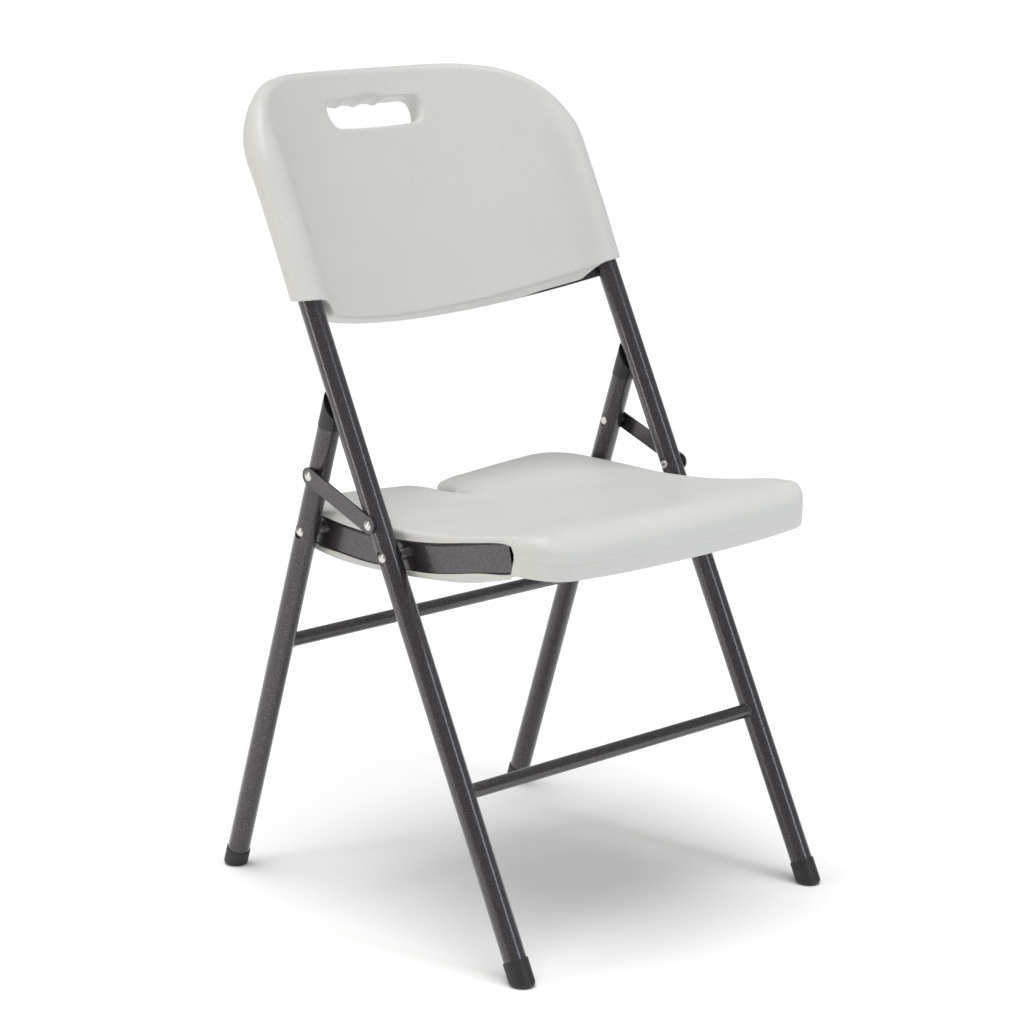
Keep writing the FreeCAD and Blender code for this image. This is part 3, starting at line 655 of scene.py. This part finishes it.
# Depths behind the pivot's plane of the front and rear skins, and heights of the top edge,
# all by distance from the middle.
BACK_FRONT = [(0, 62), (40, 59.6), (80, 52.3), (120, 39.8), (155, 24), (180, 9.2), (193, -0.5),
              (201, -8.5), (208, -15.5), (215, -19.2), (221.5, -20), (242, -20)]
BACK_REAR = [(0, 84), (40, 81.7), (80, 74.9), (120, 63.2), (155, 48.6), (180, 35.3), (195, 26),
             (208, 19.8), (222, 18.3), (242, 18.3)]
BACK_TOP = [(0, 1044), (40, 1043), (82, 1040), (123, 1034), (150, 1026), (171, 1017), (190, 1004.5),
            (207, 990), (222, 970), (233, 948), (240, 925), (241.5, 900)]
ROLL_RADIUS = 20.0
BACK_HALF = LEG_AXIS + ROLL_RADIUS
ROLL_REAR_BOTTOM = 764
TOP_STATIONS = (0, 14, 28, 42, 56, 70, 84, 98, 111, 123, 135, 146, 156, 166, 175, 184, 193, 202, 211, 220)
SHOULDER = ((228, 959), (233, 948), (237, 936.5), (240, 925), (241.3, 911))
SIDE_HEIGHTS = (893, 872, 850, 828, 808, 790, 775, 764)
BOTTOM_STATIONS = (219, 213, 208, 204, 200, 194, 186, 176, 164, 150, 135, 120, 105, 90, 75, 60, 45, 30,
                   15, 0)


def shoulder_lean(at):
    """How far the top corners curl back, past the ends of the legs."""
    return 14 * ease(at.y, 900, 985) * ease(abs(at.x), 178, 228)


def front_skin(at):
    thin = 3.2 * ease(abs(at.x), 200, 214) * (1 - ease(at.y, 752, 830))
    return through(BACK_FRONT, abs(at.x)) + shoulder_lean(at) + thin


def rear_skin(at):
    return through(BACK_REAR, abs(at.x)) + shoulder_lean(at)


def bottom_edges(x):
    """Heights of the lower edge in front and behind, at a distance across."""
    tilt = 743.5 + 5.5 * min(max(x / 150, -1.2), 1.2)
    roll = ease(abs(x), 199, 208)
    arch = 750.5 + 2 * math.cos((abs(x) - LEG_AXIS) / ROLL_RADIUS * math.pi / 2)
    brace_side = 2.5 * ease(x, 125, 150)
    return between(tilt, arch, roll), between(741 + brace_side, ROLL_REAR_BOTTOM, roll)


def back_columns():
    """Half of the back's outline from its top: places in front and behind, ways outwards, and kinds."""
    columns = []
    for x in TOP_STATIONS:
        height = through(BACK_TOP, x)
        rise = through(BACK_TOP, x + 1) - through(BACK_TOP, x - 1) if x else 0
        columns.append((x, height, height, Vector((-rise, 2)).normalized(), "top"))
    for x, s in (*SHOULDER, *((BACK_HALF, s) for s in SIDE_HEIGHTS)):
        way = Vector((1, 0.62 * ease(s, 900, 962))).normalized()
        columns.append((x, s, s, way, "side"))
    front, rear = bottom_edges(LEG_AXIS)
    for lift in (7, 2.2, 0.6):
        columns.append((BACK_HALF, front + lift, rear + lift, Vector((1, 0)), "side"))
    for x in BOTTOM_STATIONS:
        columns.append((x, *bottom_edges(x), Vector((0, -1)), "bottom"))
    return columns


HOLE_LOW = 970.0
HOLE_HIGH = 1003.0
HOLE_HALF = 66.0
HOLE_CORNER = 12.0
HOLE_STRAIGHT = HOLE_HALF - HOLE_CORNER
STRAIGHT_SHARE = 0.82
CORNER_SHARE = 0.18
FINGER_RIDGE = 3.4
RIDGE_PLACES = (-38.0, -9.5, 19.0)
RIDGE_HALF = 8.5


def finger_ridge(x):
    """1 at the middle of a ridge between two fingers, 0 between the ridges."""
    nearest = min(abs(x - place) for place in RIDGE_PLACES)
    return math.cos(math.pi / 2 * min(nearest / RIDGE_HALF, 1)) ** 2


def hole_outline(count_top, count_side, count_bottom):
    """Half of the hand hole's outline, matched to the back's own outline."""
    places = []
    for i in range(count_top):
        share = i / (count_top - 1)
        turn = math.radians(45 * ease(share, STRAIGHT_SHARE, 1))
        x = HOLE_STRAIGHT * min(share / STRAIGHT_SHARE, 1) + HOLE_CORNER * math.sin(turn)
        places.append(Vector((x, HOLE_HIGH - HOLE_CORNER * (1 - math.cos(turn)))))
    for i in range(count_side):
        share = (i + 1) / (count_side + 1)
        turn = math.radians(45 + 90 * share)
        x = HOLE_STRAIGHT + HOLE_CORNER * math.sin(turn)
        centre = between(HOLE_HIGH - HOLE_CORNER, HOLE_LOW + HOLE_CORNER, ease(share, 0, 1))
        places.append(Vector((x, centre + HOLE_CORNER * math.cos(turn))))
    for i in range(count_bottom):
        share = i / (count_bottom - 1)
        turn = math.radians(45 * (1 - ease(share, 0, CORNER_SHARE)))
        straight = 1 - max(share - CORNER_SHARE, 0) / STRAIGHT_SHARE
        x = HOLE_STRAIGHT * straight + HOLE_CORNER * math.sin(turn)
        places.append(Vector((x, HOLE_LOW + HOLE_CORNER * (1 - math.cos(turn)))))
    return places


def edge_rounding(kind, x, s):
    """How far the edge's rounding reaches in, and the share of the thickness it takes."""
    if kind == "bottom":
        roll = ease(abs(x), 199, 210)
        return between(3.5, 2.0, roll), between(0.16, 0.08, roll)
    if kind == "side":
        return between(20, 12, ease(s, 880, 960)), 0.47
    return between(10, 12, ease(abs(x), 150, 215)), 0.46


def rim_rounding(kind, at):
    """How far the hand hole's front rim reaches out, and how deep it goes."""
    if kind == "bottom":
        return 5, 7
    if kind == "side":
        low = ease(HOLE_HIGH - at.y, 12, 30)
        return between(9, 5, low), between(12, 7, low)
    end = ease(abs(at.x), 40, 60)
    return between(8, 9, end), between(10, 12, end)


FRONT_SHARES = (0.03, 0.07, 0.14, 0.26, 0.38, 0.50, 0.60, 0.68, 0.75, 0.81, 0.86, 0.91, 0.955)
REAR_SHARES = (0.955, 0.90, 0.82, 0.72, 0.60, 0.45, 0.28, 0.12, 0.04)
EDGE_TURNS = (0, 22.5, 45, 67.5, 90)
REAR_RIM = 4


def back_profile(x, s_front, s_rear, way, kind, hole):
    """The shell's points in one column: out over the front, round the edge and back to the hole."""
    reach, round_share = edge_rounding(kind, x, s_front)
    inner = Vector((x, s_front)) - way * reach
    inner_rear = Vector((x, s_rear)) - way * reach
    out = (inner - hole).normalized()
    rim_out, rim_deep = rim_rounding(kind, hole)
    ridge = Vector((0, -FINGER_RIDGE * finger_ridge(hole.x) if kind == "top" else 0))
    middle = between(front_skin(hole) + rim_deep, rear_skin(hole) - REAR_RIM, 0.5)
    points = [(hole.x, hole.y + ridge.y, middle)]
    for degrees in EDGE_TURNS:
        turn = math.radians(degrees)
        at = hole + out * rim_out * (1 - math.cos(turn)) + ridge * (1 - math.sin(turn) ** 2)
        points.append((*at, front_skin(at) + rim_deep * (1 - math.sin(turn))))
    for share in FRONT_SHARES:
        at = (hole + out * rim_out).lerp(inner, share)
        points.append((*at, front_skin(at)))
    front_depth = front_skin(inner)
    rear_depth = rear_skin(inner_rear)
    thick = rear_depth - front_depth

    def on_edge(degrees, skin, sign):
        turn = math.radians(degrees)
        depth = skin + sign * thick * round_share * (1 - math.cos(turn))
        s = between(s_front, s_rear, (depth - front_depth) / thick)
        return (*(Vector((x, s)) - way * (reach * (1 - math.sin(turn)))), depth)

    points += [on_edge(degrees, front_depth, 1) for degrees in EDGE_TURNS]
    points += [on_edge(degrees, rear_depth, -1) for degrees in reversed(EDGE_TURNS)]
    for share in REAR_SHARES:
        at = (hole + out * REAR_RIM).lerp(inner_rear, share)
        points.append((*at, rear_skin(at)))
    for degrees in (90, 60, 30, 0):
        turn = math.radians(degrees)
        at = hole + out * REAR_RIM * (1 - math.cos(turn)) + ridge * math.cos(turn)
        points.append((*at, rear_skin(at) - REAR_RIM * (1 - math.sin(turn))))
    return [*points, points[0]]


def back_rings():
    """The shell's rings, from inside the hand hole out to the edge and back again."""
    right = back_columns()
    kinds = [kind for *_, kind in right]
    holes = hole_outline(kinds.count("top"), kinds.count("side"), kinds.count("bottom"))
    half = [(*column, hole) for column, hole in zip(right, holes)]
    left = []
    for x, front, rear, way, kind, hole in half[-2:0:-1]:
        if kind == "bottom":
            front, rear = bottom_edges(-x)
        left.append((-x, front, rear, Vector((-way.x, way.y)), kind, Vector((-hole.x, hole.y))))
    profiles = [back_profile(*column) for column in half + left]
    rings = []
    for points in zip(*profiles):
        places = [Vector((x, 0, 0)) + back_up * (s - PIVOT_UP) + back_behind * n for x, s, n in points]
        rings.append([pivot + place * MM for place in places])
    return rings


back = smooth(new_object("back_shell", loft(back_rings()), moulded_plastic), 2)
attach(back, "frame")
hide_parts("backrest")

# ---- links -------------------------------------------------------------------------------
# A flat steel bar with round ends on the outside of each pair of legs. It ties the rear leg
# to the front leg, so that the legs, the seat and the bar fold together. It is coated too.
dress(powder_coat, "link_left", "link_right")

# ---- rivets, washers, spacers and screws -------------------------------------------------
# Semi-tubular steel rivets with domed heads, the washers and spacers on them, and the
# screws that hold the seat and the back. They are zinc plated, with a slightly dulled skin.
zinc_shade = Shade("zinc_plate")
zinc_cloud = zinc_shade.noise(220, 4.0)
zinc_grain = zinc_shade.noise(1800, 2.0)
zinc_colour = zinc_shade.mix(zinc_cloud, (0.55, 0.53, 0.50), (0.74, 0.73, 0.71))
zinc_plate = zinc_shade.finish(
    Base_Color=zinc_colour,
    Metallic=1.0,
    Roughness=zinc_cloud * 0.18 + 0.22,
    height=zinc_grain * 0.00003,
)
for part in ("seat_pivot_rivet", "seat_pivot_spacer", "leg_pivot_rivet", "leg_pivot_spacer",
             "link_front_rivet", "link_front_washer", "link_rear_rivet", "link_rear_rivet_tail",
             "link_rear_washer"):
    dress(zinc_plate, part + "_left", part + "_right")
dress(zinc_plate, "seat_screws", "back_screws")
